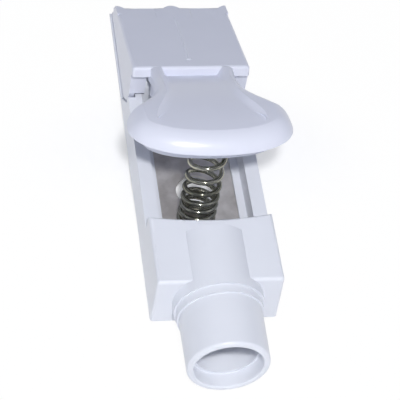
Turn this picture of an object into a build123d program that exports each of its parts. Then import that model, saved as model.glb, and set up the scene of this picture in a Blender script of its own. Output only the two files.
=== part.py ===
from build123d import *
import math
import os

# Clip adaptor for ECG electrodes: a spring-loaded jaw, a stud hole and a 4 mm plug socket.
# Millimetres. +X is to the right, +Y runs from the plug socket to the jaw tip, +Z is up.
# The origin is the middle of the flat underside. "v" is the distance behind the end block's
# front face, so y = FRONT + v.

# A length named SETBACK is measured from the pivot back towards the end block.

# ---- housing ----
BODY_LENGTH = 43.0
BODY_WIDTH = 12.8            # across the underside
DRAFT = 1.3                  # degrees, each side leans in towards the top
EDGE_ROUND = 0.35            # the housing's top and front edges
BLOCK_LENGTH = 8.3           # end block, at its sides
BLOCK_HEIGHT = 6.35
BLOCK_HOLLOW = 0.6           # how far the block's rear face curves in at the middle
FLOOR = 1.0
WALL_TOP = 4.3
CHANNEL_WIDTH = 9.66
LEDGE_TOP = 1.75
LEDGE_REACH = 0.8            # ledge width out from the wall's foot
LEDGE_GRIP = 0.3             # how far the ledge overhangs the contact plate
JAW_LENGTH = 15.0            # from the pivot to the tip
JAW_EDGE = 0.4               # thickness of the floor's edge under the lever's skirts
TIP_WALL_TOP = 2.02          # side wall height at the jaw tip
TIP_SLANT = 38.5             # degrees, the closed jaws' end leans back from upright
RAMP_OFFSET = 5.0            # from the pivot to the jaw's raised floor
RAMP_LENGTH = 2.5
JAW_FLOOR = 1.7
LUG_THICK = 1.15
LUG_RADIUS = 1.35

# ---- pivot ----
PIVOT_Z = 4.9
PIN_RADIUS = 0.75
PIN_LENGTH = 10.6
RUNNING_GAP = 0.05           # radial, pin to lever
PART_GAP = 0.12              # lever to housing over the parting line
SKIRT_GAP = 0.25             # lever to housing at the skirts' near edges
SEAT_GAP = 0.03              # pieces that seat in one another

# ---- plug socket ----
BARREL_RADIUS = 4.12
BARREL_TAPER = 0.07          # the barrel is this much smaller in radius at its mouth
BARREL_REACH = 7.9           # in front of the block
BARREL_DEPTH = 6.2           # inside the block
SEAT_RADIUS = 4.2
COLLAR_RADIUS = 4.5
COLLAR_STEP_RADIUS = 4.3
COLLAR_WIDTH = 1.15
COLLAR_STEP_WIDTH = 0.9
MOUTH_RADIUS = 3.37
MOUTH_DEPTH = 1.6
MOUTH_ROUND = 0.35
MOUTH_CHAMFER = 0.12
SHROUD_RADIUS = 3.1
SHROUD_END = -2.7            # v where the shroud bore ends at the contact's seat
PLUG_RADIUS = 2.0            # bore of the contact, for a 4 mm plug
CONTACT_WALL = 0.5
CONTACT_LENGTH = 4.4
CONTACT_SLIT = 0.4
WEB_END = 1.0                # v where the contact's seat ends
REAR_BORE_RADIUS = 3.0

# ---- contact plate and rivet ----
PLATE_THICK = 0.3
PLATE_SETOFF = 2.0           # the plate ends this far short of the tip
PLATE_JAW_WIDTH = 6.1
TONGUE_WIDTH = 3.0
TONGUE_START = 3.2
STUD_OFFSET = 7.15           # from the block's rear face to the stud hole
STUD_RADIUS = 2.1
STUD_GUIDE_RADIUS = 2.8
TAIL_WIDTH = 2.4
TAIL_END = 5.6
RIVET_V = 4.6
RIVET_RADIUS = 0.55
RIVET_HEAD_RADIUS = 1.0
RIVET_HEAD = 0.3

# ---- lever: jaw cover ----
LEVER_WIDTH = 12.5
SLAB_TILT = 20.0             # degrees
SHOULDER_SETBACK = 2.13      # near top edge of the jaw cover
SHOULDER_Z = 9.05
SHOULDER_ROUND = 0.35
COVER_THICK = 1.15
SKIRT_THICK = 1.65           # above the housing's walls
SKIRT_SETBACK = 1.88         # the skirts' near face
SKIRT_FOOT_Z = 4.88          # high enough to clear the walls when the lever is pressed
PLY_THICK = 0.6              # the skirts' outer ply, beside the housing's walls
PLY_FOOT_Z = 0.95
HEEL_SETBACK = 1.3           # the ply's near edge turns here towards its foot
HEEL_Z = 3.0
TOE_OFFSET = 1.2             # from the pivot to the near end of the ply's foot
TIP_BLOCK_LENGTH = 6.8
TOOTH_PITCH = 1.2
TOOTH_HEIGHT = 0.22
TOOTH_WIDTH = 0.88
TOOTH_START = 0.3            # from the gripping block's near end to the first tooth
TOOTH_COUNT = 4
TIP_RIB_RADIUS = 1.4
TIP_RIB_PROUD = 0.35
TIP_RIB_CREST = 0.06         # the ribs' ends stand this far over the cover's top

# ---- lever: neck and thumb pad ----
NECK_WIDTH = 8.9
NECK_SETBACK = 2.8           # where the curved middle line starts
NECK_Z = 8.15
NECK_OVERLAP = 1.8           # the neck's straight root runs this far into the cover
ARCH_SETBACK = 13.0          # the middle line's second point
ARCH_Z = 13.1
ARCH_END_SETBACK = 21.2
ARCH_END_Z = 14.65
PAD_WIDTH = 16.95            # before the front is rounded
PAD_SETBACK = 13.9           # the pad's widest place
PAD_DEPTH = 4.75             # from the widest place to the front
PAD_SQUARENESS = 0.64        # 0.55 makes a quarter ellipse, more is squarer
FLARE_SETBACK = 6.5          # where the neck starts to flare into the pad
FLARE_EASE = 3.2             # the flare's curve leaves the neck over this length
WIDEST_EASE = 2.6            # and meets the pad's side over this one
RIM_RISE = 1.0               # rim top above the middle line, at the front
RIM_DIP = 0.25               # the rim is this much lower over the middle line at the neck
RIM_DROP = 0.75
RIM_ROUND = 0.9              # along the neck and the flare
RIM_ROUND_UNDER = 0.25
NOSE_ROUND = 2.4             # round the pad's front
NOSE_TRIM = 0.05             # taken off the front by its larger round
NOSE_LIFT = 0.05             # the large round starts this far over the rim's top
DISH_RISE = 0.7              # dish floor above the middle line, at the front
DISH_DIP = 0.5               # the dish's floor is this much lower over the middle line at the neck
DISH_ROUND = 1.1             # the dish's soft sides
DISH_SIDE_INSET = 2.7
DISH_NECK_INSET = 0.6
CREASE_INSET = 2.6           # the dish's sharp front edge
CREASE_SIDE_INSET = 3.05
CREASE_RETURN = 2.6          # how far its ends curve back behind the widest place
LIP_DROP = 2.6
LIP_INSET = 1.8
LIP_WALL = 0.55

# ---- spring ----
SPRING_RADIUS = 1.8          # to the middle of the wire
WIRE_RADIUS = 0.25
SPRING_TURNS = 8
SPRING_OFFSET = 2.9          # from the block's rear face to the spring's base
SPRING_TOP_SETBACK = 13.85
SPIGOT_RADIUS = 1.4
SPIGOT_LENGTH = 1.5
SEAT_BOSS_HEIGHT = 0.6

# ---- modelling aids ----
BEYOND = 1.0                 # how far a cut runs past what it cuts
OVERLAP = 0.2                # how far a joined strip runs into its wall
BITE = 0.01                  # and a tooth into its block
EDGE_TOLERANCE = 0.02        # for finding an edge by its place

FRONT = -BODY_LENGTH / 2
PIVOT_V = BODY_LENGTH - JAW_LENGTH
RAMP_START = PIVOT_V + RAMP_OFFSET
RAMP_END = RAMP_START + RAMP_LENGTH
PLATE_END = BODY_LENGTH - PLATE_SETOFF
STUD_V = BLOCK_LENGTH + STUD_OFFSET
SPRING_BASE_V = BLOCK_LENGTH + SPRING_OFFSET
SPRING_TOP_V = PIVOT_V - SPRING_TOP_SETBACK
BARREL_Z = BLOCK_HEIGHT / 2
PLATE_TOP = FLOOR + PLATE_THICK
PLATE_WIDTH = CHANNEL_WIDTH - 2 * (LEDGE_REACH - LEDGE_GRIP) - 2 * RUNNING_GAP
TILT = math.radians(SLAB_TILT)
SLANT = math.radians(TIP_SLANT)
SHOULDER_V = PIVOT_V - SHOULDER_SETBACK
SKIRT_V = PIVOT_V - SKIRT_SETBACK
HEEL_V = PIVOT_V - HEEL_SETBACK
TOE_V = PIVOT_V + TOE_OFFSET
TIP_BLOCK_V = BODY_LENGTH - TIP_BLOCK_LENGTH
NECK_V = PIVOT_V - NECK_SETBACK
NECK_ROOT_V = NECK_V + NECK_OVERLAP
PAD_V = PIVOT_V - PAD_SETBACK
FLARE_V = PIVOT_V - FLARE_SETBACK


def at(v, z):
    """A point of the side profile, as (y, z)."""
    return (FRONT + v, z)


def slab_z(v):
    """Height of the jaw cover's top face."""
    return SHOULDER_Z - (v - SHOULDER_V) * math.tan(TILT)


def end_v(z):
    """The slanted end of the closed jaws at height z."""
    return BODY_LENGTH - z * math.tan(SLANT)


def tip_corner():
    """Where the jaw cover's top face meets the slanted end, as (v, z)."""
    z = (slab_z(BODY_LENGTH)) / (1 - math.tan(SLANT) * math.tan(TILT))
    return end_v(z), z


def ply_slope_v(z):
    """The ply's near edge between its heel and its toe, at height z."""
    return HEEL_V + (HEEL_Z - z) * (TOE_V - HEEL_V) / (HEEL_Z - PLY_FOOT_Z)


def side_prism(points, half_width):
    """A closed side profile of (y, z) points, extruded to both sides of the middle plane."""
    return extrude(Plane.YZ * make_face(Polyline(*points, close=True)), half_width, both=True)


def across(radius, length, v, z, x=0.0):
    """A cylinder along X."""
    return Pos(x, FRONT + v, z) * Rot(0, 90, 0) * Cylinder(radius, length)


def drafted_prism(height):
    """The housing's outer section, narrowing upwards, over the full length."""
    foot = BODY_WIDTH / 2
    lean = height * math.tan(math.radians(DRAFT))
    section = Polyline((-foot, 0), (foot, 0), (foot - lean, height), (lean - foot, height), close=True)
    plane = Plane(origin=(0, FRONT, 0), x_dir=(1, 0, 0), z_dir=(0, -1, 0))
    return extrude(plane * make_face(section), -BODY_LENGTH)


def bay_space(half_width, low, high, far_v):
    """Everything behind the block's curved rear face, between two heights."""
    half = BODY_WIDTH / 2
    radius = (half**2 + BLOCK_HOLLOW**2) / (2 * BLOCK_HOLLOW)

    def rear_v(x):
        return BLOCK_LENGTH - BLOCK_HOLLOW + radius - math.sqrt(radius**2 - x**2)

    edge = FRONT + rear_v(half_width)
    middle = FRONT + rear_v(0)
    far = FRONT + far_v
    outline = ThreePointArc((half_width, edge), (0, middle), (-half_width, edge))
    sides = Polyline((-half_width, edge), (-half_width, far), (half_width, far), (half_width, edge))
    return Pos(0, 0, low) * extrude(make_face(outline + sides), high - low)


def ledge(side):
    """The strip at a wall's foot that holds the contact plate down, up to the pivot lugs."""
    wall = CHANNEL_WIDTH / 2
    face = wall - LEDGE_REACH
    groove = face + LEDGE_GRIP
    roof = PLATE_TOP + RUNNING_GAP
    section = Polyline(
        (side * (wall + OVERLAP), FLOOR - OVERLAP), (side * groove, FLOOR - OVERLAP), (side * groove, roof),
        (side * face, roof), (side * face, LEDGE_TOP), (side * (wall + OVERLAP), LEDGE_TOP), close=True,
    )
    start = BLOCK_LENGTH - BLOCK_HOLLOW
    plane = Plane(origin=(0, FRONT + start, 0), x_dir=(1, 0, 0), z_dir=(0, -1, 0))
    return extrude(plane * make_face(section), start - PIVOT_V)


def lug(side):
    """A pivot lug that stands up inside the jaw cover."""
    outer = LEVER_WIDTH / 2 - SKIRT_THICK - PART_GAP
    middle = side * (outer - LUG_THICK / 2)
    post = Pos(middle, FRONT + PIVOT_V, (FLOOR + PIVOT_Z) / 2) * Box(LUG_THICK, 2 * LUG_RADIUS, PIVOT_Z - FLOOR)
    head = across(LUG_RADIUS, LUG_THICK, PIVOT_V, PIVOT_Z, middle)
    foot_width = CHANNEL_WIDTH / 2 - outer + LUG_THICK
    foot_x = side * (CHANNEL_WIDTH / 2 - foot_width / 2)
    foot = Pos(foot_x, FRONT + PIVOT_V, (FLOOR + WALL_TOP) / 2 - PART_GAP) * Box(
        foot_width, 2 * LUG_RADIUS, WALL_TOP - FLOOR - 2 * PART_GAP
    )
    return post + head + foot


def skirt_recess(side):
    """The space beside a jaw wall that the lever's outer ply runs in."""
    wall_face = LEVER_WIDTH / 2 - PLY_THICK - PART_GAP
    beyond = BODY_LENGTH + BEYOND
    top = BLOCK_HEIGHT
    profile = [at(SKIRT_V - SKIRT_GAP, top), at(SKIRT_V - SKIRT_GAP, SKIRT_FOOT_Z), at(HEEL_V - SKIRT_GAP, HEEL_Z),
               at(ply_slope_v(JAW_EDGE) - SKIRT_GAP, JAW_EDGE), at(beyond, JAW_EDGE), at(beyond, top)]
    width = BODY_WIDTH / 2
    return Pos(side * (wall_face + width), 0, 0) * side_prism(profile, width)


def make_housing():
    rear_v = BLOCK_LENGTH + BEYOND
    profile = [at(0, 0), at(BODY_LENGTH, 0), at(end_v(TIP_WALL_TOP), TIP_WALL_TOP), at(PIVOT_V, WALL_TOP),
               at(rear_v, WALL_TOP), at(rear_v, BLOCK_HEIGHT), at(0, BLOCK_HEIGHT)]
    body = drafted_prism(BLOCK_HEIGHT) & side_prism(profile, BODY_WIDTH)
    body -= bay_space(BODY_WIDTH, WALL_TOP, BLOCK_HEIGHT + BEYOND, BLOCK_LENGTH + 2 * BEYOND)
    top_edges = body.faces().sort_by(Axis.Z)[-1].edges()
    front_uprights = [e for e in body.edges() if abs(e.center().Y - FRONT) < EDGE_TOLERANCE
                      and e.length > WALL_TOP and abs(e.center().X) > BODY_WIDTH / 4]
    body = fillet(list(top_edges) + front_uprights, EDGE_ROUND)
    top = BLOCK_HEIGHT + BEYOND
    channel = [at(BLOCK_LENGTH, FLOOR), at(RAMP_START, FLOOR), at(RAMP_END, JAW_FLOOR),
               at(BODY_LENGTH + BEYOND, JAW_FLOOR), at(BODY_LENGTH + BEYOND, top), at(BLOCK_LENGTH, top)]
    body -= side_prism(channel, CHANNEL_WIDTH / 2)
    body -= bay_space(CHANNEL_WIDTH / 2, FLOOR, top, rear_v)
    for side in (-1, 1):
        rail = ledge(side) & bay_space(BODY_WIDTH / 2, 0, WALL_TOP, BODY_LENGTH)
        body += rail
        body += lug(side)
        body -= skirt_recess(side)
    body -= across(PIN_RADIUS, BODY_WIDTH, PIVOT_V, PIVOT_Z)
    pocket_length = BARREL_DEPTH + SEAT_GAP
    pocket = Pos(0, FRONT + pocket_length / 2, BARREL_Z) * Rot(90, 0, 0) * Cylinder(
        SEAT_RADIUS + SEAT_GAP, pocket_length)
    body -= pocket
    slot_half = TONGUE_WIDTH / 2 + RUNNING_GAP
    slot_top = PLATE_TOP + RUNNING_GAP
    slot = [at(BARREL_DEPTH, FLOOR), at(BLOCK_LENGTH, FLOOR), at(BLOCK_LENGTH, slot_top),
            at(BARREL_DEPTH, slot_top)]
    body -= side_prism(slot, slot_half)
    body -= Pos(0, FRONT + STUD_V, FLOOR / 2) * Cylinder(STUD_GUIDE_RADIUS, 2 * FLOOR)
    return body


def make_barrel():
    mouth = -BARREL_REACH
    collar_front = -COLLAR_WIDTH
    step_front = collar_front - COLLAR_STEP_WIDTH
    tip_radius = BARREL_RADIUS - BARREL_TAPER
    seat = PLUG_RADIUS + CONTACT_WALL + SEAT_GAP
    points = [
        (MOUTH_RADIUS, mouth), (tip_radius, mouth), (BARREL_RADIUS, step_front),
        (COLLAR_STEP_RADIUS, step_front), (COLLAR_STEP_RADIUS, collar_front),
        (COLLAR_RADIUS, collar_front), (COLLAR_RADIUS, -SEAT_GAP), (SEAT_RADIUS, -SEAT_GAP),
        (SEAT_RADIUS, BARREL_DEPTH), (REAR_BORE_RADIUS, BARREL_DEPTH), (REAR_BORE_RADIUS, WEB_END),
        (seat, WEB_END), (seat, SHROUD_END), (SHROUD_RADIUS, SHROUD_END),
        (SHROUD_RADIUS, mouth + MOUTH_DEPTH), (MOUTH_RADIUS, mouth + MOUTH_DEPTH),
    ]
    outline = [(r, FRONT + v) for r, v in points]
    turned = revolve(make_face(Polyline(*outline, close=True)), Axis.Y)
    rim = [e for e in turned.edges() if abs(e.center().Y - FRONT - mouth) < EDGE_TOLERANCE]
    outer_rim = max(rim, key=lambda e: e.length)
    inner_rim = min(rim, key=lambda e: e.length)
    turned = fillet([outer_rim], MOUTH_ROUND)
    turned = chamfer([e for e in turned.edges() if e.length < inner_rim.length + EDGE_TOLERANCE
                      and abs(e.center().Y - FRONT - mouth) < EDGE_TOLERANCE], MOUTH_CHAMFER)
    return Pos(0, 0, BARREL_Z) * turned


def make_plug_contact():
    start = SHROUD_END + RUNNING_GAP
    rear = start + CONTACT_LENGTH
    outer = PLUG_RADIUS + CONTACT_WALL
    centre = Pos(0, FRONT + start + CONTACT_LENGTH / 2, BARREL_Z) * Rot(90, 0, 0)
    sleeve = centre * (Cylinder(outer, CONTACT_LENGTH) - Cylinder(PLUG_RADIUS, CONTACT_LENGTH))
    sleeve -= Pos(0, FRONT + start, BARREL_Z + outer) * Box(CONTACT_SLIT, 2 * CONTACT_LENGTH, 2 * outer)
    foot = BARREL_Z - outer
    root_top = foot + PLATE_THICK
    tail_top = PLATE_TOP + PLATE_THICK
    profile = [at(rear - PLATE_THICK, foot), at(rear + PLATE_THICK, foot), at(rear + PLATE_THICK, PLATE_TOP),
               at(TAIL_END, PLATE_TOP), at(TAIL_END, tail_top), at(rear, tail_top), at(rear, root_top),
               at(rear - PLATE_THICK, root_top)]
    tail = side_prism(profile, TAIL_WIDTH / 2)
    tail -= Pos(0, FRONT + RIVET_V, tail_top) * Cylinder(RIVET_RADIUS + SEAT_GAP, 4 * PLATE_THICK)
    return sleeve + tail


def make_rivet():
    low = FLOOR
    high = PLATE_TOP + PLATE_THICK
    shank = Pos(0, FRONT + RIVET_V, (low + high) / 2) * Cylinder(RIVET_RADIUS, high - low)
    head = Pos(0, FRONT + RIVET_V, high + RIVET_HEAD / 2) * Cylinder(RIVET_HEAD_RADIUS, RIVET_HEAD)
    foot = Pos(0, FRONT + RIVET_V, low - RIVET_HEAD / 2) * Cylinder(RIVET_HEAD_RADIUS, RIVET_HEAD)
    return shank + head + foot


def make_plate():
    under = [(TONGUE_START, FLOOR), (RAMP_START, FLOOR), (RAMP_END, JAW_FLOOR), (PLATE_END, JAW_FLOOR)]
    over = [(v, z + PLATE_THICK) for v, z in reversed(under)]
    band = side_prism([at(v, z) for v, z in under + over], PLATE_WIDTH / 2)
    wide_end = PIVOT_V - LUG_RADIUS - PART_GAP
    plan = [(TONGUE_WIDTH / 2, TONGUE_START), (TONGUE_WIDTH / 2, BLOCK_LENGTH), (PLATE_WIDTH / 2, BLOCK_LENGTH),
            (PLATE_WIDTH / 2, wide_end), (PLATE_JAW_WIDTH / 2, wide_end), (PLATE_JAW_WIDTH / 2, PLATE_END)]
    right = [(x, FRONT + v) for x, v in plan]
    left = [(-x, y) for x, y in reversed(right)]
    outline = extrude(make_face(Polyline(*right, *left, close=True)), BLOCK_HEIGHT)
    plate = band & outline
    plate -= Pos(0, FRONT + STUD_V, FLOOR) * Cylinder(STUD_RADIUS, 4 * PLATE_THICK)
    plate -= Pos(0, FRONT + RIVET_V, FLOOR) * Cylinder(RIVET_RADIUS + SEAT_GAP, 4 * PLATE_THICK)
    return plate


def middle_line(offset, dip=0.0):
    """The neck's and pad's curved middle line, moved up or down, from the neck to the front.

    A dip lowers its end at the neck, and its second point in proportion.
    """
    share = (ARCH_END_SETBACK - ARCH_SETBACK) / (ARCH_END_SETBACK - NECK_SETBACK)
    return ThreePointArc(at(NECK_V, NECK_Z + offset - dip),
                         at(PIVOT_V - ARCH_SETBACK, ARCH_Z + offset - dip * share),
                         at(PIVOT_V - ARCH_END_SETBACK, ARCH_END_Z + offset))


def middle_z(v):
    """Height of the middle line at v: straight behind the neck's start, and found by halving before it."""
    line = middle_line(0)
    if v > NECK_V:
        back = line % 0
        return NECK_Z + (v - NECK_V) * back.Y / back.X
    near, far = 0.0, 1.0
    for _ in range(40):
        half = (near + far) / 2
        if (line @ half).X > FRONT + v:
            near = half
        else:
            far = half
    return (line @ near).Y


def curved_band(bottom, top, root):
    """A wide plate between two curved lines, with a straight root at the neck."""
    bottom_root = bottom @ 0 - (bottom % 0) * root
    top_root = top @ 0 - (top % 0) * root
    ends = Line(top @ 1, bottom @ 1) + Polyline(bottom @ 0, bottom_root, top_root, top @ 0)
    return extrude(Plane.YZ * make_face(top + bottom + ends), PAD_WIDTH, both=True)


def pad_side(half, neck, root_v):
    """One side of the pad's plan: straight at the neck, then flared out to the widest place."""
    root, flare, widest = FRONT + root_v, FRONT + FLARE_V, FRONT + PAD_V
    bend = Bezier((neck, flare), (neck, flare - FLARE_EASE), (half, widest + WIDEST_EASE), (half, widest))
    return Line((neck, root), (neck, flare)) + bend


def pad_nose(half, depth):
    """One side of a squarish round end that reaches a depth in front of the widest place."""
    widest = FRONT + PAD_V
    front = widest - depth
    return Bezier((half, widest), (half, widest - PAD_SQUARENESS * depth), (PAD_SQUARENESS * half, front),
                  (0, front))


def closed_plan(right):
    """A plan face from its right half, which starts and may end away from the middle."""
    return make_face(right + mirror(right, Plane.YZ) + closing_lines(right))


def closing_lines(right):
    """Straight lines across the middle, where a right half's ends don't lie on it."""
    lines = []
    for point in (right @ 0, right @ 1):
        if abs(point.X) > 0.001:
            lines.append(Line(point, (-point.X, point.Y)))
    return Curve() + lines


def pad_plan(inset, neck_inset, root_v):
    """The thumb pad's whole plan, inside its outline by an inset."""
    half = PAD_WIDTH / 2 - inset
    return closed_plan(pad_side(half, NECK_WIDTH / 2 - neck_inset, root_v) + pad_nose(half, PAD_DEPTH - inset))


def column(plan):
    """A plan outline extruded past the top of everything."""
    return extrude(plan, 3 * BLOCK_HEIGHT)


def outline_edges(solid, lowest, highest):
    """The edges round a piece of the pad whose middles lie between two offsets from the middle line."""
    chosen = []
    for edge in solid.edges():
        point = edge @ 0.5
        v = point.Y - FRONT
        across_neck = abs(point.X) < 0.1 and v > FLARE_V
        upright = abs((edge % 0.5).Z) > 0.9
        height = point.Z - middle_z(v)
        if not (across_neck or upright) and lowest - EDGE_TOLERANCE < height < highest + EDGE_TOLERANCE:
            chosen.append(edge)
    return chosen


def make_dish():
    """The two spaces of the thumb pad's dish: soft sides along the flare, and a sharp crease in front."""
    floor = curved_band(middle_line(DISH_RISE, DISH_DIP), middle_line(4 * RIM_RISE), 2 * NECK_OVERLAP)
    side = pad_side(PAD_WIDTH / 2 - DISH_SIDE_INSET, NECK_WIDTH / 2 - DISH_NECK_INSET, SHOULDER_V)
    soft = floor & column(closed_plan(side))
    soft_edges = outline_edges(soft, DISH_RISE - DISH_DIP, DISH_RISE)
    soft = fillet([e for e in soft_edges if abs((e @ 0.5).X) > 1], DISH_ROUND)
    half = PAD_WIDTH / 2 - CREASE_SIDE_INSET
    widest = FRONT + PAD_V
    back = widest + CREASE_RETURN
    tail = Bezier((0, back), (half / 2, back), (half, widest + CREASE_RETURN / 2), (half, widest))
    crease = floor & column(closed_plan(tail + pad_nose(half, PAD_DEPTH - CREASE_INSET)))
    return soft, crease


def nose_form():
    """A broad slab with a large round, which shapes the pad's front."""
    half = PAD_WIDTH / 2 - NOSE_TRIM
    root = FRONT + NECK_ROOT_V + BLOCK_HEIGHT
    right = Line((half, root), (half, FRONT + PAD_V)) + pad_nose(half, PAD_DEPTH - NOSE_TRIM)
    top = RIM_RISE + NOSE_LIFT
    form = curved_band(middle_line(-RIM_DROP - NOSE_ROUND), middle_line(top, RIM_DIP), 3 * NECK_OVERLAP)
    form &= column(closed_plan(right))
    edges = [e for e in outline_edges(form, top - RIM_DIP, top) if (e @ 0.5).Y < FRONT + FLARE_V]
    return fillet(edges, NOSE_ROUND)


def make_lip():
    """The wall under the pad and along the neck's sides."""
    band = curved_band(middle_line(-LIP_DROP), middle_line(-RIM_DROP + RIM_ROUND_UNDER), NECK_OVERLAP)
    inner = curved_band(middle_line(-2 * LIP_DROP), middle_line(-RIM_DROP), 2 * NECK_OVERLAP)
    lip = band & column(pad_plan(LIP_INSET, RIM_ROUND_UNDER, NECK_V))
    return lip - (inner & column(pad_plan(LIP_INSET + LIP_WALL, RIM_ROUND_UNDER + LIP_WALL, NECK_V)))


def make_pad():
    """The thumb pad and neck: a rounded rim round a dish, with a lip and hollow underneath."""
    blade = curved_band(middle_line(-RIM_DROP), middle_line(RIM_RISE, RIM_DIP), NECK_OVERLAP)
    blade &= column(pad_plan(0, 0, NECK_ROOT_V))
    blade = fillet(outline_edges(blade, RIM_RISE - RIM_DIP, RIM_RISE), RIM_ROUND)
    blade = fillet(outline_edges(blade, -RIM_DROP, -RIM_DROP), RIM_ROUND_UNDER)
    blade &= nose_form()
    for space in make_dish():
        blade -= space
    return blade + make_lip()


def spring_ends():
    """The spring's base and top centres as (y, z)."""
    base = (FRONT + SPRING_BASE_V, PLATE_TOP)
    top = (FRONT + SPRING_TOP_V, middle_z(SPRING_TOP_V) - RIM_DROP - SEAT_BOSS_HEIGHT)
    return base, top


def spring_frame():
    """A location at the spring's top, with +Z along the spring's line upwards."""
    base, top = spring_ends()
    lean = math.degrees(math.atan2(top[0] - base[0], top[1] - base[1]))
    return Pos(0, *top) * Rot(-lean, 0, 0)


def make_spring_seat():
    """The boss and spigot under the pad that hold the spring's top."""
    boss_height = SEAT_BOSS_HEIGHT + RIM_DROP
    boss = Pos(0, 0, boss_height / 2) * Cylinder(SPRING_RADIUS + 2 * WIRE_RADIUS, boss_height)
    spigot = Pos(0, 0, -SPIGOT_LENGTH / 2) * Cylinder(SPIGOT_RADIUS, SPIGOT_LENGTH)
    return spring_frame() * (boss + spigot)


def jaw_cover_shell():
    """The upper jaw's outer form, with its hollow and the skirts' two steps."""
    under_drop = COVER_THICK / math.cos(TILT)
    tab_v = SHOULDER_V - COVER_THICK * math.sin(TILT)
    tab_z = SHOULDER_Z - COVER_THICK * math.cos(TILT)
    profile = [at(SHOULDER_V, SHOULDER_Z), at(*tip_corner()), at(end_v(PLY_FOOT_Z), PLY_FOOT_Z),
               at(TOE_V, PLY_FOOT_Z), at(HEEL_V, HEEL_Z), at(SKIRT_V, SKIRT_FOOT_Z),
               at(SKIRT_V, slab_z(SKIRT_V) - under_drop), at(tab_v, tab_z)]
    half = LEVER_WIDTH / 2
    cover = side_prism(profile, half)
    top = [e for e in cover.edges() if e.center().Z > slab_z(e.center().Y - FRONT) - EDGE_TOLERANCE]
    shoulder = [e for e in cover.edges() if abs(abs(e.center().X) - half) < EDGE_TOLERANCE
                and e.center().Y < FRONT + SHOULDER_V and e.center().Z > tab_z]
    cover = fillet(top + shoulder, SHOULDER_ROUND)
    beyond = BODY_LENGTH + BEYOND
    wall_space = [at(SKIRT_V - BEYOND, 0), at(SKIRT_V - BEYOND, SKIRT_FOOT_Z), at(SKIRT_V, SKIRT_FOOT_Z),
                  at(PIVOT_V, WALL_TOP + PART_GAP), at(end_v(TIP_WALL_TOP), TIP_WALL_TOP + PART_GAP),
                  at(beyond, TIP_WALL_TOP + PART_GAP), at(beyond, 0)]
    cover -= side_prism(wall_space, half - PLY_THICK)
    mouth_v = SHOULDER_V - 3 * BEYOND
    hollow = [at(mouth_v, 0), at(mouth_v, slab_z(mouth_v) - under_drop),
              at(TIP_BLOCK_V, slab_z(TIP_BLOCK_V) - under_drop), at(TIP_BLOCK_V, 0)]
    return cover - side_prism(hollow, half - SKIRT_THICK)


def gripping_block():
    """The solid, toothed block inside the upper jaw's tip."""
    grip_z = JAW_FLOOR + PLATE_THICK + PART_GAP
    foot = grip_z + TOOTH_HEIGHT
    top = slab_z(TIP_BLOCK_V) - COVER_THICK / 2
    end_top = tip_corner()[1] - COVER_THICK / 2
    block = side_prism([at(TIP_BLOCK_V, foot), at(end_v(foot), foot), at(end_v(end_top), end_top),
                        at(TIP_BLOCK_V, top)], LEVER_WIDTH / 2 - SKIRT_THICK)
    for tooth in range(TOOTH_COUNT):
        start = TIP_BLOCK_V + TOOTH_START + tooth * TOOTH_PITCH
        ridge = [at(start, foot + BITE), at(start + TOOTH_WIDTH / 2, grip_z),
                 at(start + TOOTH_WIDTH, foot + BITE)]
        block += side_prism(ridge, PLATE_JAW_WIDTH / 2)
    return block


def make_tip_ribs():
    """Half-round ribs down the upper jaw's slanted end: one in the middle, one at each corner."""
    foot_z = TIP_WALL_TOP + PART_GAP
    corner_v, corner_z = tip_corner()
    sunk = TIP_RIB_RADIUS - TIP_RIB_PROUD
    foot = Vector(0, FRONT + end_v(foot_z) - sunk * math.cos(SLANT), foot_z - sunk * math.sin(SLANT))
    along = Vector(0, -math.sin(SLANT), math.cos(SLANT))
    length = (corner_z - foot_z) / math.cos(SLANT) + TIP_RIB_RADIUS
    rod = extrude(Plane(origin=foot, x_dir=(1, 0, 0), z_dir=along) * Circle(TIP_RIB_RADIUS), length)
    crest = TIP_RIB_CREST / math.cos(TILT)
    low_v, high_v = corner_v - TIP_RIB_RADIUS, BODY_LENGTH + BEYOND
    kept = [at(low_v, slab_z(low_v) + crest), at(high_v, slab_z(high_v) + crest), at(high_v, foot_z),
            at(end_v(foot_z), foot_z), at(low_v, corner_z - COVER_THICK / 2)]
    half = LEVER_WIDTH / 2
    rods = rod + Pos(half, 0, 0) * rod + Pos(-half, 0, 0) * rod
    return rods & side_prism(kept, half)


def make_lever():
    cover = jaw_cover_shell() + gripping_block() + make_tip_ribs()
    cover -= across(PIN_RADIUS + RUNNING_GAP, PIN_LENGTH + 2 * PART_GAP, PIVOT_V, PIVOT_Z)
    return cover + make_pad() + make_spring_seat()


def make_spring():
    """The return spring, between the contact plate and the seat under the thumb pad."""
    base, top = spring_ends()
    lean = math.atan2(top[0] - base[0], top[1] - base[1])
    length = math.hypot(top[0] - base[0], top[1] - base[1])
    lift = WIRE_RADIUS + SPRING_RADIUS * abs(math.sin(lean)) + SEAT_GAP
    height = length - WIRE_RADIUS - lift - SEAT_GAP
    path = Helix(pitch=height / SPRING_TURNS, height=height, radius=SPRING_RADIUS)
    section = Plane(origin=path @ 0, z_dir=path % 0) * Circle(WIRE_RADIUS)
    coil = sweep(section, path=path, is_frenet=True)
    return spring_frame() * Pos(0, 0, -height - WIRE_RADIUS - SEAT_GAP) * coil


def make_pin():
    return across(PIN_RADIUS, PIN_LENGTH, PIVOT_V, PIVOT_Z)


def main():
    os.makedirs("parts", exist_ok=True)
    nodes = {
        "housing": make_housing(),
        "socket_barrel": make_barrel(),
        "plug_contact": make_plug_contact(),
        "contact_rivet": make_rivet(),
        "contact_plate": make_plate(),
        "pivot_pin": make_pin(),
        "lever": make_lever(),
        "return_spring": make_spring(),
    }
    for name, shape in nodes.items():
        export_step(shape, f"parts/{name}.step")
        print(name, round(shape.volume, 2), shape.is_valid)


main()
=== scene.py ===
import math

import bpy
from mathutils import Matrix, Vector


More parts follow.
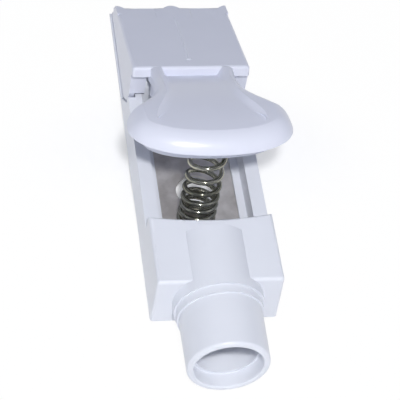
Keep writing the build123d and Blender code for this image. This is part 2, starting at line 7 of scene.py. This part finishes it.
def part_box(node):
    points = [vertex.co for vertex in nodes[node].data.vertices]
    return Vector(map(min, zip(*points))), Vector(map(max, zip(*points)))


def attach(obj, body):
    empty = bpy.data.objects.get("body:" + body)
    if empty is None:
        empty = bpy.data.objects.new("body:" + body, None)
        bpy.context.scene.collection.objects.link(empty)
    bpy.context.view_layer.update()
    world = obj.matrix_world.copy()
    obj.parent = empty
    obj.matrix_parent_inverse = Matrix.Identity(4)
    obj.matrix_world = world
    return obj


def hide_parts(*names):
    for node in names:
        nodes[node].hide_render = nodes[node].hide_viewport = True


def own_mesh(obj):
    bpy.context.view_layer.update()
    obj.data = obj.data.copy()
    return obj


MM = 0.001

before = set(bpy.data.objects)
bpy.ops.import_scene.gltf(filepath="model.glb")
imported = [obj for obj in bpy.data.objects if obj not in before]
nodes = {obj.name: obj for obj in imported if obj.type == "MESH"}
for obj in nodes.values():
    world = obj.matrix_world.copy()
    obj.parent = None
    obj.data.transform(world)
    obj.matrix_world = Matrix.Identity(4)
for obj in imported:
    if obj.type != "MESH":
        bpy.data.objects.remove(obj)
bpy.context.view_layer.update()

# ---- where things are: millimetres, measured from the frame's boxes ----


def low_corner(node):
    return Vector(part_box(node)[0]) / MM


HOUSING_LOW = low_corner("housing")
FRONT = HOUSING_LOW.y                    # the end block's front face
FLOOR_LEVEL = HOUSING_LOW.z - 1.36       # just under the barrel, the lowest piece
PLATE_THICK = 0.3
PLATE_TOP = low_corner("contact_plate").z + PLATE_THICK
HOUSING_BODY = "housing_body"
LEVER_BODY = "lever_body"

# The lever's sloping top
SHOULDER = Vector((0, FRONT + 25.87, 9.05))     # the middle of its upper edge
SLAB_TILT = math.radians(20)
LEVER_WIDTH = 12.5
RIB_END = 12.6                           # where the tip's ribs end, from the shoulder along Y


def slab_point(offset):
    """A point on the sloping top's middle line, by its offset from the shoulder along Y."""
    return SHOULDER + Vector((0, offset, -math.tan(SLAB_TILT) * offset))


# ---- objects ----


def new_object(name, data):
    made = bpy.data.objects.new(name, data)
    bpy.context.scene.collection.objects.link(made)
    return made


# ---- camera ----

CAMERA_PLACE = Vector((-29.123, FRONT - 92.050, 132.468))
CAMERA_YAW = 15.471                      # degrees, to the right of +Y
CAMERA_PITCH = -49.957
CAMERA_ROLL = 10.546
CAMERA_SENSOR = 36
CAMERA_LENS = 148.27
CAMERA_CLIP = (0.005, 20)                # metres


def make_camera():
    yaw, pitch, roll = (math.radians(a) for a in (CAMERA_YAW, CAMERA_PITCH, CAMERA_ROLL))
    forward = Vector((math.sin(yaw) * math.cos(pitch), math.cos(yaw) * math.cos(pitch), math.sin(pitch)))
    level_right = Vector((math.cos(yaw), -math.sin(yaw), 0))
    level_up = level_right.cross(forward)
    right = level_right * math.cos(roll) + level_up * math.sin(roll)
    up = level_up * math.cos(roll) - level_right * math.sin(roll)
    data = bpy.data.cameras.new("camera")
    data.sensor_width = CAMERA_SENSOR
    data.lens = CAMERA_LENS
    data.clip_start, data.clip_end = CAMERA_CLIP
    camera = new_object("camera", data)
    turn = Matrix((right, up, -forward)).transposed()
    camera.matrix_world = Matrix.Translation(CAMERA_PLACE * MM) @ turn.to_4x4()
    bpy.context.scene.camera = camera


# ---- shader nodes ----


def new_material(name):
    material = bpy.data.materials.new(name)
    material.use_nodes = True
    tree = material.node_tree
    tree.nodes.clear()
    output = tree.nodes.new("ShaderNodeOutputMaterial")
    return material, tree, output


def link(tree, source, target):
    tree.links.new(source, target)


def object_coordinates(tree, stretch=(1, 1, 1)):
    place = tree.nodes.new("ShaderNodeTexCoord")
    mapping = tree.nodes.new("ShaderNodeMapping")
    mapping.inputs["Scale"].default_value = stretch
    link(tree, place.outputs["Object"], mapping.inputs["Vector"])
    return mapping.outputs["Vector"]


def noise(tree, coordinates, scale, detail):
    node = tree.nodes.new("ShaderNodeTexNoise")
    node.inputs["Scale"].default_value = scale
    node.inputs["Detail"].default_value = detail
    link(tree, coordinates, node.inputs["Vector"])
    return node.outputs["Fac"]


def two_colours(tree, factor, dark, light, low=0.35, high=0.65):
    """dark up to a low factor, light from a high one, and blended between them."""
    ramp = tree.nodes.new("ShaderNodeValToRGB")
    ramp.color_ramp.elements[0].position = low
    ramp.color_ramp.elements[0].color = (*dark, 1)
    ramp.color_ramp.elements[1].position = high
    ramp.color_ramp.elements[1].color = (*light, 1)
    link(tree, factor, ramp.inputs["Fac"])
    return ramp.outputs["Color"]


def value_range(tree, factor, low, high):
    node = tree.nodes.new("ShaderNodeMapRange")
    node.inputs["To Min"].default_value = low
    node.inputs["To Max"].default_value = high
    link(tree, factor, node.inputs["Value"])
    return node.outputs["Result"]


def bump(tree, height, strength, distance):
    node = tree.nodes.new("ShaderNodeBump")
    node.inputs["Strength"].default_value = strength
    node.inputs["Distance"].default_value = distance
    link(tree, height, node.inputs["Height"])
    return node.outputs["Normal"]


def combine(tree, operation, first, second):
    node = tree.nodes.new("ShaderNodeMath")
    node.operation = operation
    link(tree, first, node.inputs[0])
    link(tree, second, node.inputs[1])
    return node.outputs["Value"]


def mix_shaders(tree, factor, first, second):
    node = tree.nodes.new("ShaderNodeMixShader")
    link(tree, factor, node.inputs["Fac"])
    link(tree, first, node.inputs[1])
    link(tree, second, node.inputs[2])
    return node.outputs["Shader"]


def white_emission(tree, strength):
    node = tree.nodes.new("ShaderNodeEmission")
    node.inputs["Color"].default_value = (1, 1, 1, 1)
    node.inputs["Strength"].default_value = strength
    return node.outputs["Emission"]


def background(tree, colour, strength):
    node = tree.nodes.new("ShaderNodeBackground")
    node.inputs["Color"].default_value = (*colour, 1)
    node.inputs["Strength"].default_value = strength
    return node.outputs["Background"]


# ---- finishes ----

# Darkest and lightest colour, least and most roughness
BODY_WHITE = ((0.79, 0.81, 0.87), (0.805, 0.825, 0.885), 0.285, 0.32)
LEVER_WHITE = ((0.75, 0.768, 0.868), (0.765, 0.783, 0.883), 0.285, 0.31)
SATIN_NICKEL = ((0.54, 0.51, 0.485), (0.77, 0.74, 0.72), 0.34, 0.46)
BRIGHT_NICKEL = ((0.55, 0.53, 0.49), (0.66, 0.64, 0.60), 0.18, 0.32)
# painted shade: the spring wire's two colours are darker than bare steel, standing in for the shade and
# dark reflections inside the coil; its stains vary between them
SHADED_SPRING_STEEL = ((0.25, 0.245, 0.19), (0.5, 0.49, 0.41), 0.1, 0.2)
GROUND_STEEL = ((0.5, 0.5, 0.5), (0.6, 0.6, 0.6), 0.2, 0.32)
ALONG_Y = (1, 0.06, 1)                   # draws the plate's streaks out


def moulded_plastic(name, finish):
    """Glossy ABS: faint clouding in the colour and shine, and faint shrink waves."""
    dark, light, rough_low, rough_high = finish
    material, tree, output = new_material(name)
    shader = tree.nodes.new("ShaderNodeBsdfPrincipled")
    place = object_coordinates(tree)
    cloud = noise(tree, place, scale=180, detail=3)
    link(tree, two_colours(tree, cloud, dark, light), shader.inputs["Base Color"])
    sheen = noise(tree, place, scale=420, detail=2)
    link(tree, value_range(tree, sheen, rough_low, rough_high), shader.inputs["Roughness"])
    waves = noise(tree, place, scale=110, detail=1)
    link(tree, bump(tree, waves, strength=0.1, distance=0.05 * MM), shader.inputs["Normal"])
    link(tree, shader.outputs["BSDF"], output.inputs["Surface"])
    return material


def plated_metal(name, finish, streak_scale, stretch=(1, 1, 1), metallic=1.0):
    """Metal with fine streaks and soft stains; a dull plating is less metallic."""
    dark, light, rough_low, rough_high = finish
    material, tree, output = new_material(name)
    shader = tree.nodes.new("ShaderNodeBsdfPrincipled")
    shader.inputs["Metallic"].default_value = metallic
    stains = noise(tree, object_coordinates(tree), scale=420, detail=4)
    stained = two_colours(tree, stains, dark, light, low=0.38, high=0.62)
    link(tree, stained, shader.inputs["Base Color"])
    streaks = noise(tree, object_coordinates(tree, stretch), streak_scale, detail=3)
    link(tree, value_range(tree, streaks, rough_low, rough_high), shader.inputs["Roughness"])
    link(tree, bump(tree, streaks, strength=0.3, distance=0.02 * MM), shader.inputs["Normal"])
    link(tree, shader.outputs["BSDF"], output.inputs["Surface"])
    return material


def paint(piece, material):
    piece.data.materials.clear()
    piece.data.materials.append(material)


def paint_solids():
    """Gives each solid its finish; returns the lever's and the spring's, which added pieces share."""
    lever = moulded_plastic("white_abs_lever", LEVER_WHITE)
    plate = plated_metal("satin_nickel", SATIN_NICKEL, streak_scale=1600, stretch=ALONG_Y, metallic=0.6)
    sleeve = plated_metal("bright_nickel", BRIGHT_NICKEL, streak_scale=900)
    # the spring wire's darkened colours are painted shade
    wire = plated_metal("spring_wire", SHADED_SPRING_STEEL, streak_scale=1500)
    finishes = {
        "housing": moulded_plastic("white_abs_body", BODY_WHITE),
        "lever": lever,
        "socket_barrel": moulded_plastic("white_abs_barrel", BODY_WHITE),
        "contact_plate": plate,
        "plug_contact": sleeve,
        "contact_rivet": sleeve,
        "pivot_pin": plated_metal("ground_pin", GROUND_STEEL, streak_scale=900),
        "return_spring": wire,
    }
    for name, material in finishes.items():
        paint(nodes[name], material)
    return lever, wire


# ---- stage ----

LAMP_TARGET = Vector((0, -0.002, 0.006))     # metres, like the lamps' distances and sides
# Name, azimuth (0 is the plug's side, positive to the right), elevation, distance, side of the square,
# watts, colour
LAMPS = (
    ("key", -10, 55, 0.25, 0.016, 0.41, (1, 1, 1)),
    ("low_fill", -4, 26, 0.4, 0.16, 0.045, (1, 1, 1)),
    ("left_fill", -75, 22, 0.4, 0.2, 0.046, (0.94, 1, 0.94)),
    ("right_fill", 60, 35, 0.4, 0.2, 0.045, (1, 1, 1)),
)
WORLD_COLOUR = (0.84, 0.9, 1.08)
WORLD_STRENGTH = 0.3
FLOOR_HALF = 1.5                         # metres
PAPER_COLOURS = ((0.9, 0.9, 0.9), (0.93, 0.93, 0.93))
WHITE_FAR = 0.96                         # the floor's share of plain white outside its shadow spots
WHITE_NEAR = 0.0                         # and in the middle of one
PAPER_GLOW = 0.2                         # lifts the floor where it shows its shadow
# Centre, reach along X, Y and Z, and the share of the reach over which the spot sets in from its edge
SHADOW_SPOTS = (
    (Vector((1.5, FRONT + 23, HOUSING_LOW.z)), Vector((22, 12, 13)), 1.0),        # beside the clip
    (Vector((0.6, FRONT + 17.5, FLOOR_LEVEL)), Vector((5.6, 5.6, 5.6)), 0.45),    # under the stud hole
)


def area_lamp(name, azimuth, elevation, distance, size, power, colour):
    turn, rise = math.radians(azimuth), math.radians(elevation)
    towards = Vector((math.sin(turn) * math.cos(rise), -math.cos(turn) * math.cos(rise), math.sin(rise)))
    data = bpy.data.lights.new(name, "AREA")
    data.shape = "SQUARE"
    data.size = size
    data.energy = power
    data.color = colour
    lamp = new_object(name, data)
    lamp.location = LAMP_TARGET + towards * distance
    lamp.rotation_euler = (-towards).to_track_quat("-Z", "Y").to_euler()


def make_world():
    """A pale blue surround that the camera itself sees as white."""
    world = bpy.data.worlds.new("studio")
    world.use_nodes = True
    tree = world.node_tree
    tree.nodes.clear()
    output = tree.nodes.new("ShaderNodeOutputWorld")
    path = tree.nodes.new("ShaderNodeLightPath")
    surround = background(tree, WORLD_COLOUR, WORLD_STRENGTH)
    white = background(tree, (1, 1, 1), 1.0)
    seen = mix_shaders(tree, path.outputs["Is Camera Ray"], surround, white)
    link(tree, seen, output.inputs["Surface"])
    bpy.context.scene.world = world


def spot(tree, centre, reach, edge):
    """1 in the middle of an ellipsoid and 0 outside it, eased over its edge."""
    place = tree.nodes.new("ShaderNodeTexCoord")
    mapping = tree.nodes.new("ShaderNodeMapping")
    mapping.vector_type = "TEXTURE"
    mapping.inputs["Location"].default_value = centre * MM
    mapping.inputs["Scale"].default_value = reach * MM
    link(tree, place.outputs["Object"], mapping.inputs["Vector"])
    gradient = tree.nodes.new("ShaderNodeTexGradient")
    gradient.gradient_type = "SPHERICAL"
    link(tree, mapping.outputs["Vector"], gradient.inputs["Vector"])
    ease = tree.nodes.new("ShaderNodeMapRange")
    ease.interpolation_type = "SMOOTHSTEP"
    ease.inputs["From Max"].default_value = edge
    link(tree, gradient.outputs["Fac"], ease.inputs["Value"])
    return ease.outputs["Result"]


def white_for_camera(tree, shader_output, output):
    """Mixes in plain white for the camera and mirror-like surfaces, less in the shadow spots."""
    path = tree.nodes.new("ShaderNodeLightPath")
    looked_at = combine(tree, "MAXIMUM", path.outputs["Is Camera Ray"], path.outputs["Is Glossy Ray"])
    lifted = tree.nodes.new("ShaderNodeAddShader")
    link(tree, shader_output, lifted.inputs[0])
    link(tree, white_emission(tree, PAPER_GLOW), lifted.inputs[1])
    paper = mix_shaders(tree, looked_at, shader_output, lifted.outputs["Shader"])
    beside, under = (spot(tree, *numbers) for numbers in SHADOW_SPOTS)
    in_shadow = combine(tree, "MAXIMUM", beside, under)
    share = combine(tree, "MULTIPLY", looked_at, value_range(tree, in_shadow, WHITE_FAR, WHITE_NEAR))
    link(tree, mix_shaders(tree, share, paper, white_emission(tree, 1.0)), output.inputs["Surface"])


def make_floor():
    mesh = bpy.data.meshes.new("floor")
    quarters = ((-1, -1), (1, -1), (1, 1), (-1, 1))
    corners = [(x * FLOOR_HALF, y * FLOOR_HALF, FLOOR_LEVEL * MM) for x, y in quarters]
    mesh.from_pydata(corners, [], [(0, 1, 2, 3)])
    floor = new_object("floor", mesh)
    material, tree, output = new_material("floor_white")
    shader = tree.nodes.new("ShaderNodeBsdfPrincipled")
    shader.inputs["Roughness"].default_value = 0.9
    grain = noise(tree, object_coordinates(tree), scale=900, detail=3)
    link(tree, two_colours(tree, grain, *PAPER_COLOURS), shader.inputs["Base Color"])
    white_for_camera(tree, shader.outputs["BSDF"], output)
    paint(floor, material)


# ---- pieces that are added to the solids ----

TUBE_ROUNDNESS = 5                       # the curve's bevel resolution


def hand_over(piece, body, material):
    """Smooths and paints a piece, and sets the body it rides on."""
    for polygon in piece.data.polygons:
        polygon.use_smooth = True
    paint(piece, material)
    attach(piece, body)


def tube(name, points, radius):
    """A round bar with closed ends, as a mesh made from a curve that is then removed."""
    curve = bpy.data.curves.new(name, "CURVE")
    curve.dimensions = "3D"
    curve.bevel_depth = radius * MM
    curve.bevel_resolution = TUBE_ROUNDNESS
    curve.use_fill_caps = True
    spline = curve.splines.new("POLY")
    spline.points.add(len(points) - 1)
    for point, place in zip(spline.points, points):
        point.co = (*(place * MM), 1)
    bar = new_object(name, curve)
    bpy.context.view_layer.update()
    graph = bpy.context.evaluated_depsgraph_get()
    mesh = bpy.data.meshes.new_from_object(bar.evaluated_get(graph))
    bpy.data.objects.remove(bar)
    bpy.data.curves.remove(curve)
    return new_object(name, mesh)


def patch(name, top, bottom):
    """A closed piece between two grids of points, given row by row."""
    rows, columns = len(top), len(top[0])
    count = rows * columns
    faces = []
    for row in range(rows - 1):
        for column in range(columns - 1):
            a = row * columns + column
            quad = (a, a + 1, a + 1 + columns, a + columns)
            faces.append(quad)
            faces.append(tuple(count + i for i in reversed(quad)))
    first, last = list(range(columns)), list(range(count - columns, count))
    left, right = list(range(0, count, columns)), list(range(columns - 1, count, columns))
    for line in (first, last[::-1], left[::-1], right):
        for a, b in zip(line, line[1:]):
            faces.append((b, a, count + a, count + b))
    mesh = bpy.data.meshes.new(name)
    mesh.from_pydata([place * MM for grid in (top, bottom) for row in grid for place in row], [], faces)
    return new_object(name, mesh)


def ease_out(distance, flat, end):
    """1 up to flat, then softly down to 0 at end."""
    share = min(max((distance - flat) / (end - flat), 0), 1)
    return (1 + math.cos(math.pi * share)) / 2


# ---- the coil ----

WIRE_RADIUS = 0.27
WIRE_CLEARANCE = 0.02                    # over the plate
COIL_RADIUS = 1.72
SPRING_START = 275                       # degrees; 270 is towards the plug
SPRING_BASE = Vector((-0.65, FRONT + 11.2, PLATE_TOP))
SPRING_TOP = Vector((0.27, FRONT + 14.15, 12.0))
# Turns from the bottom, and the height that they reach along the spring's line
COIL_HEIGHTS = ((0, 0.25), (1, 0.78), (2, 1.62), (3, 2.55), (4, 3.45), (5, 4.66), (6, 6.17), (7, 7.87),
                (8, 9.7), (9, 10.4), (9.75, 10.85))
COIL_TURNS = COIL_HEIGHTS[-1][0]
COIL_STEPS = 40                          # per turn
LEVEL_TURNS = 2                          # by then the wire, level at the foot, has the line's tilt
EVENING_TURNS = 0.5                      # the height is averaged over this much to each side
EVENING_SAMPLES = 9


def coil_height(turn):
    for (t0, h0), (t1, h1) in zip(COIL_HEIGHTS, COIL_HEIGHTS[1:]):
        if turn <= t1:
            share = (turn - t0) / (t1 - t0)
            return h0 + share * (h1 - h0)
    return COIL_HEIGHTS[-1][1]


def smooth_coil_height(turn):
    total = 0
    for i in range(EVENING_SAMPLES):
        t = turn + EVENING_TURNS * (2 * i / (EVENING_SAMPLES - 1) - 1)
        total += coil_height(min(max(t, 0), COIL_TURNS))
    return total / EVENING_SAMPLES


def make_spring(material):
    up = (SPRING_TOP - SPRING_BASE).normalized()
    side = Vector((1, 0, 0))
    side = (side - up * side.dot(up)).normalized()
    back = up.cross(side)
    steps = int(COIL_TURNS * COIL_STEPS)
    points = []
    for i in range(steps + 1):
        turn = COIL_TURNS * i / steps
        angle = math.radians(SPRING_START) + 2 * math.pi * turn
        arm = side * math.cos(angle) + back * math.sin(angle)
        arm.z *= min(1, turn / LEVEL_TURNS)
        place = SPRING_BASE + up * smooth_coil_height(turn) + arm * COIL_RADIUS
        place.z = max(place.z, PLATE_TOP + WIRE_RADIUS + WIRE_CLEARANCE)
        points.append(place)
    piece = tube("return_coil", points, WIRE_RADIUS)
    hand_over(piece, HOUSING_BODY, material)
    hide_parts("return_spring")
    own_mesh(piece)


# ---- the gate mark along the middle of the lever's sloping top ----

RIDGE_START = 1.85                       # from the shoulder, along Y
RIDGE_RADIUS = 0.2
RIDGE_SINK = 0.12                        # its line lies this much under the sloping top
DOT_RADIUS = 0.34
DOT_RISE = 0.075


def make_gate_mark(material):
    normal = Vector((0, math.sin(SLAB_TILT), math.cos(SLAB_TILT)))
    ends = [slab_point(v) - normal * RIDGE_SINK for v in (RIDGE_START, RIB_END)]
    hand_over(tube("gate_ridge", ends, RIDGE_RADIUS), LEVER_BODY, material)
    bpy.ops.mesh.primitive_uv_sphere_add(segments=24, ring_count=12, radius=DOT_RADIUS * MM)
    dot = bpy.context.object
    dot.name = "gate_dot"
    dot.data.name = "gate_dot"
    squeeze = Matrix.Diagonal((1, 1, DOT_RISE / DOT_RADIUS, 1))
    turn = Matrix.Rotation(-SLAB_TILT, 4, "X")
    dot.data.transform(Matrix.Translation(slab_point(RIDGE_START) * MM) @ turn @ squeeze)
    hand_over(dot, LEVER_BODY, material)


# ---- where the neck's two rims run up to the top of the cover's front face ----

RIM_X = 3.72                             # the crest's distance from the middle line
RIM_INNER = 1.05                         # the rim's reach towards the middle line
RIM_OUTER = 0.62                         # and away from it
RIM_SINK = 0.3                           # its hidden bottom lies this much under the neck's floor
RIM_STEPS = 18
# From the shoulder, along Y and up: the crest's curve, and the neck's dished floor beside it
RIM_CREST = [Vector((0, v, z)) for v, z in ((-2.87, 1.26), (-1.77, 0.57), (0.23, -0.12))]
RIM_FLOOR = [Vector((0, v, z)) for v, z in ((-2.87, 0.77), (0.23, -1.25))]
# On the neck the rim is a round-backed fold, and at the cover it has a flat top and eased sides
OUTER_SLOPE = 0.35
INNER_SLOPE = 0.85
INNER_EASE = 0.25                        # the inner slope loses this share on its way down
OUTER_FLAT = 0.15
OUTER_CURVE = 0.8
INNER_FLAT = 0.45


def curve_point(start, bend, end, t):
    """A point on a quadratic curve."""
    return start * (1 - t) ** 2 + bend * 2 * t * (1 - t) + end * t ** 2


def rim_drop(offset, t, height):
    """How far the rim lies under its crest, at an offset outwards; t goes from the neck to the cover."""
    if offset > 0:
        at_neck = OUTER_SLOPE * offset + offset ** 2
        at_cover = OUTER_CURVE * max(offset - OUTER_FLAT, 0) ** 2
    else:
        inwards = -offset
        slope = INNER_SLOPE * inwards * (1 - INNER_EASE * inwards / RIM_INNER)
        at_neck = max(slope, height * (1 - ease_out(inwards, 0, RIM_INNER)))
        at_cover = height * (1 - ease_out(inwards, INNER_FLAT, RIM_INNER))
    return (1 - t) * at_neck + t * at_cover


def rim_floor(v):
    near, far = RIM_FLOOR
    return near.lerp(far, (v - near.y) / (far.y - near.y)).z


def rim_grids(side):
    """The rim's top and its hidden bottom, row by row from the neck to the cover."""
    top, bottom = [], []
    for i in range(RIM_STEPS + 1):
        t = i / RIM_STEPS
        place = curve_point(*RIM_CREST, t)
        ground = rim_floor(place.y)
        top.append([])
        bottom.append([])
        for j in range(RIM_STEPS + 1):
            offset = RIM_OUTER - (RIM_OUTER + RIM_INNER) * j / RIM_STEPS
            x = side * (RIM_X + offset)
            drop = rim_drop(offset, t, place.z - ground)
            top[-1].append(SHOULDER + Vector((x, place.y, place.z - drop)))
            bottom[-1].append(SHOULDER + Vector((x, place.y, ground - RIM_SINK)))
    if side < 0:
        return [row[::-1] for row in top], [row[::-1] for row in bottom]
    return top, bottom


def make_rim_blends(material):
    for name, side in (("rim_blend_left", -1), ("rim_blend_right", 1)):
        hand_over(patch(name, *rim_grids(side)), LEVER_BODY, material)


# ---- soft tops of the three ribs at the lever's tip, on its sloping top ----

RIB_TIP = 13.9                           # how far the soft tops go, from the shoulder along Y
RIB_HALF = 1.3
FAIRING_HALF = 2.1                       # the soft top's reach to each side of a rib's middle
FAIRING_LENGTH = 1.8                     # and in front of the rib's end
FAIRING_RISE = 0.066
FAIRING_TUCK = 0.003                     # its edges lie this much under the sloping top
FAIRING_SINK = 0.15                      # and its hidden bottom this much
FAIRING_STEPS = 16
EDGE_ROUND = 0.3                         # the lever's rounded edge, which they keep clear of


def fairing_grids(centre, first, last):
    """A low soft rise over a rib, and its hidden bottom; first and last are offsets from its middle."""
    top, bottom = [], []
    for i in range(FAIRING_STEPS + 1):
        offset = RIB_TIP - (RIB_TIP - RIB_END + FAIRING_LENGTH) * i / FAIRING_STEPS
        fade = ease_out(RIB_END - offset, 0, FAIRING_LENGTH)
        top.append([])
        bottom.append([])
        for j in range(FAIRING_STEPS + 1):
            across = first + (last - first) * j / FAIRING_STEPS
            rise = FAIRING_RISE * fade * ease_out(abs(across), RIB_HALF, FAIRING_HALF) - FAIRING_TUCK
            place = slab_point(offset) + Vector((centre + across, 0, 0))
            top[-1].append(place + Vector((0, 0, rise)))
            bottom[-1].append(place - Vector((0, 0, FAIRING_SINK)))
    return top, bottom


def make_rib_fairings(material):
    edge = LEVER_WIDTH / 2
    fairings = (
        ("rib_end_middle", 0, -FAIRING_HALF, FAIRING_HALF),
        ("rib_end_left", -edge, EDGE_ROUND, FAIRING_HALF),
        ("rib_end_right", edge, -FAIRING_HALF, -EDGE_ROUND),
    )
    for name, centre, first, last in fairings:
        hand_over(patch(name, *fairing_grids(centre, first, last)), LEVER_BODY, material)


def main():
    make_camera()
    make_world()
    make_floor()
    for lamp in LAMPS:
        area_lamp(*lamp)

    lever_white, spring_wire = paint_solids()
    make_spring(spring_wire)
    make_gate_mark(lever_white)
    make_rim_blends(lever_white)
    make_rib_fairings(lever_white)

    bpy.context.scene.view_settings.view_transform = "Standard"


main()
